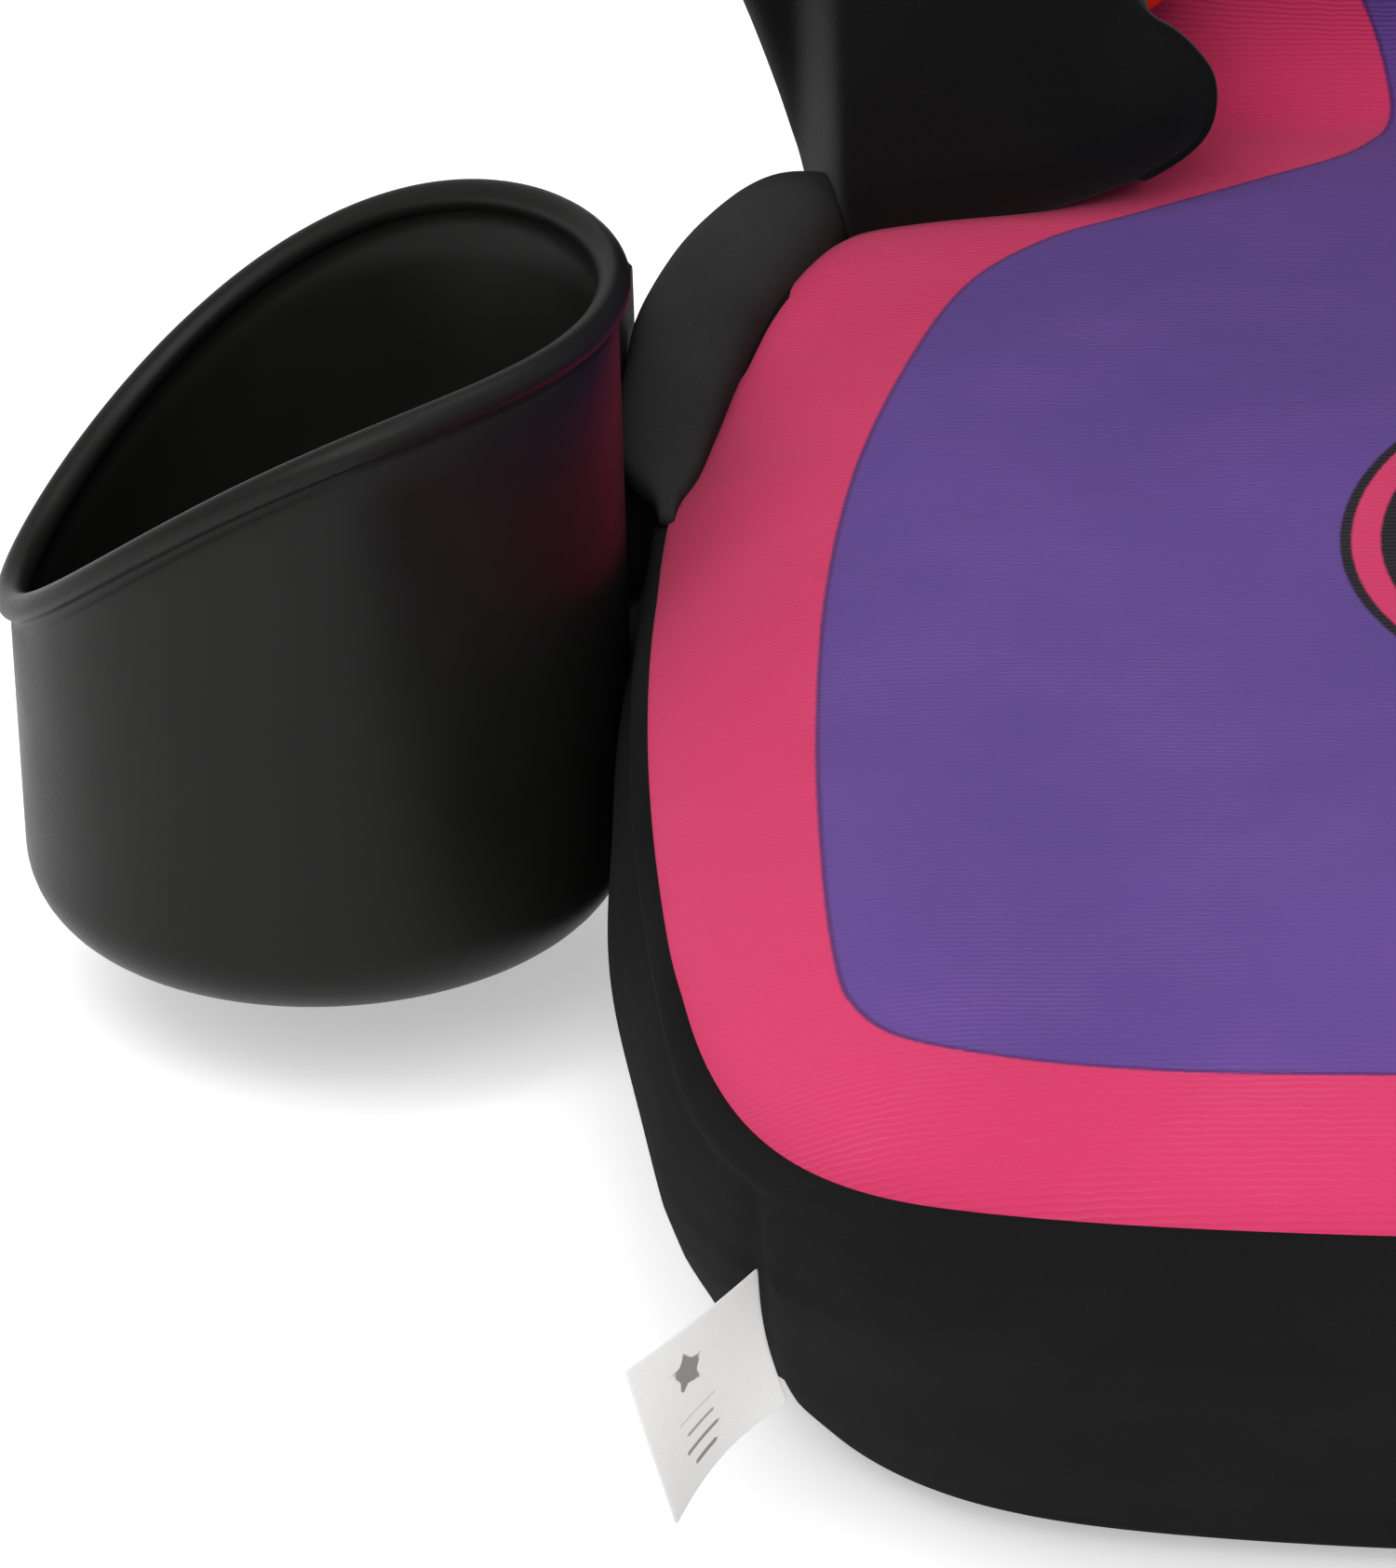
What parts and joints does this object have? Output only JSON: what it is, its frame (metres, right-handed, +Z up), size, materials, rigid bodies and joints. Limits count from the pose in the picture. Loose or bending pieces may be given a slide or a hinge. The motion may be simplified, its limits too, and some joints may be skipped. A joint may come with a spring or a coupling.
{
  "type": "high-back booster seat",
  "caption": "Child's high-back booster car seat with a padded seat, side bolsters, a height-adjustable headrest, a reclining back and lift-off cup holders.",
  "frame": {"origin": "on the ground under the middle of the seat's bounding box, with the seat standing on its feet at Z = 0", "axes": "+X to the seated child's left, +Y to the rear (the child faces -Y), +Z up"},
  "size_m": [0.57, 0.4873, 0.685],
  "materials": {
    "black_plastic": "satin",
    "orange_plastic": "satin",
    "printed_fabric": "matte",
    "black_fabric": "matte",
    "foam": "matte",
    "tag": "matte",
    "rubber": "matte",
    "steel": "satin"
  },
  "bodies": {
    "base": {"base_shell": "black_plastic", "seat_foam": "foam", "seat_cushion": "printed_fabric", "seat_boxing": "black_fabric", "armrest_pad_left": "black_fabric", "armrest_pad_right": "black_fabric", "foot_front_left": "rubber", "foot_front_right": "rubber", "foot_rear_left": "rubber", "foot_rear_right": "rubber", "cup_bracket_left": "black_plastic", "cup_bracket_right": "black_plastic", "bracket_screw_front_left": "steel", "bracket_screw_front_right": "steel", "bracket_screw_rear_left": "steel", "bracket_screw_rear_right": "steel", "hinge_rod": "steel", "rod_cap_left": "black_plastic", "rod_cap_right": "black_plastic", "care_tag": "tag"},
    "cup_left": {"cup_holder_left": "black_plastic"},
    "cup_right": {"cup_holder_right": "black_plastic"},
    "backrest": {"back_shell": "black_plastic", "back_foam": "foam", "back_pad": "printed_fabric", "bolster_left": "black_fabric", "bolster_right": "black_fabric", "belt_bezel_left": "orange_plastic", "belt_bezel_right": "orange_plastic", "hinge_hook_left": "black_plastic", "hinge_hook_right": "black_plastic", "hook_screw_lower_left": "steel", "hook_screw_lower_right": "steel", "hook_screw_upper_left": "steel", "hook_screw_upper_right": "steel", "guide_rail_left": "black_plastic", "guide_rail_right": "black_plastic", "rail_screw_lower_left": "steel", "rail_screw_lower_right": "steel", "rail_screw_upper_left": "steel", "rail_screw_upper_right": "steel", "height_rack": "steel"},
    "headrest": {"headrest_shell": "black_plastic", "headrest_foam": "foam", "headrest_pad": "printed_fabric", "headrest_wing_left": "black_fabric", "headrest_wing_right": "black_fabric", "shoulder_guide_left": "orange_plastic", "shoulder_guide_right": "orange_plastic", "headrest_carriage": "black_plastic", "carriage_screw_left": "steel", "carriage_screw_right": "steel", "return_spring": "steel"},
    "adjuster": {"adjuster_lever": "black_plastic", "pull_rod": "steel"},
    "latch": {"latch_pawl": "steel"}
  },
  "joints": [
    {"name": "back_recline", "type": "hinge", "parent": "base", "child": "backrest", "pos_m": [0, 0.182, 0.04], "axis": [-1, 0, 0], "range_deg": [0, 12]},
    {"name": "headrest_height", "type": "slide", "parent": "backrest", "child": "headrest", "axis": [0, 0.0698, 0.9976], "range_m": [0, 0.12]},
    {"name": "adjuster_squeeze", "type": "slide", "parent": "headrest", "child": "adjuster", "axis": [0, 0.0698, 0.9976], "range_m": [0, 0.008], "stiffness_N_per_m": 500, "springref_m": -0.008, "deforming": ["return_spring"]},
    {"name": "latch_release", "type": "slide", "parent": "headrest", "child": "latch", "axis": [0, 0.9976, -0.0698], "range_m": [0, 0.005]},
    {"name": "cup_left_lift", "type": "slide", "parent": "base", "child": "cup_left", "axis": [0, 0, 1], "range_m": [0, 0.045]},
    {"name": "cup_right_lift", "type": "slide", "parent": "base", "child": "cup_right", "axis": [0, 0, 1], "range_m": [0, 0.045]}
  ],
  "couplings": [
    {"joint": "latch_release", "follows": "adjuster_squeeze", "ratio": 0.625}
  ]
}
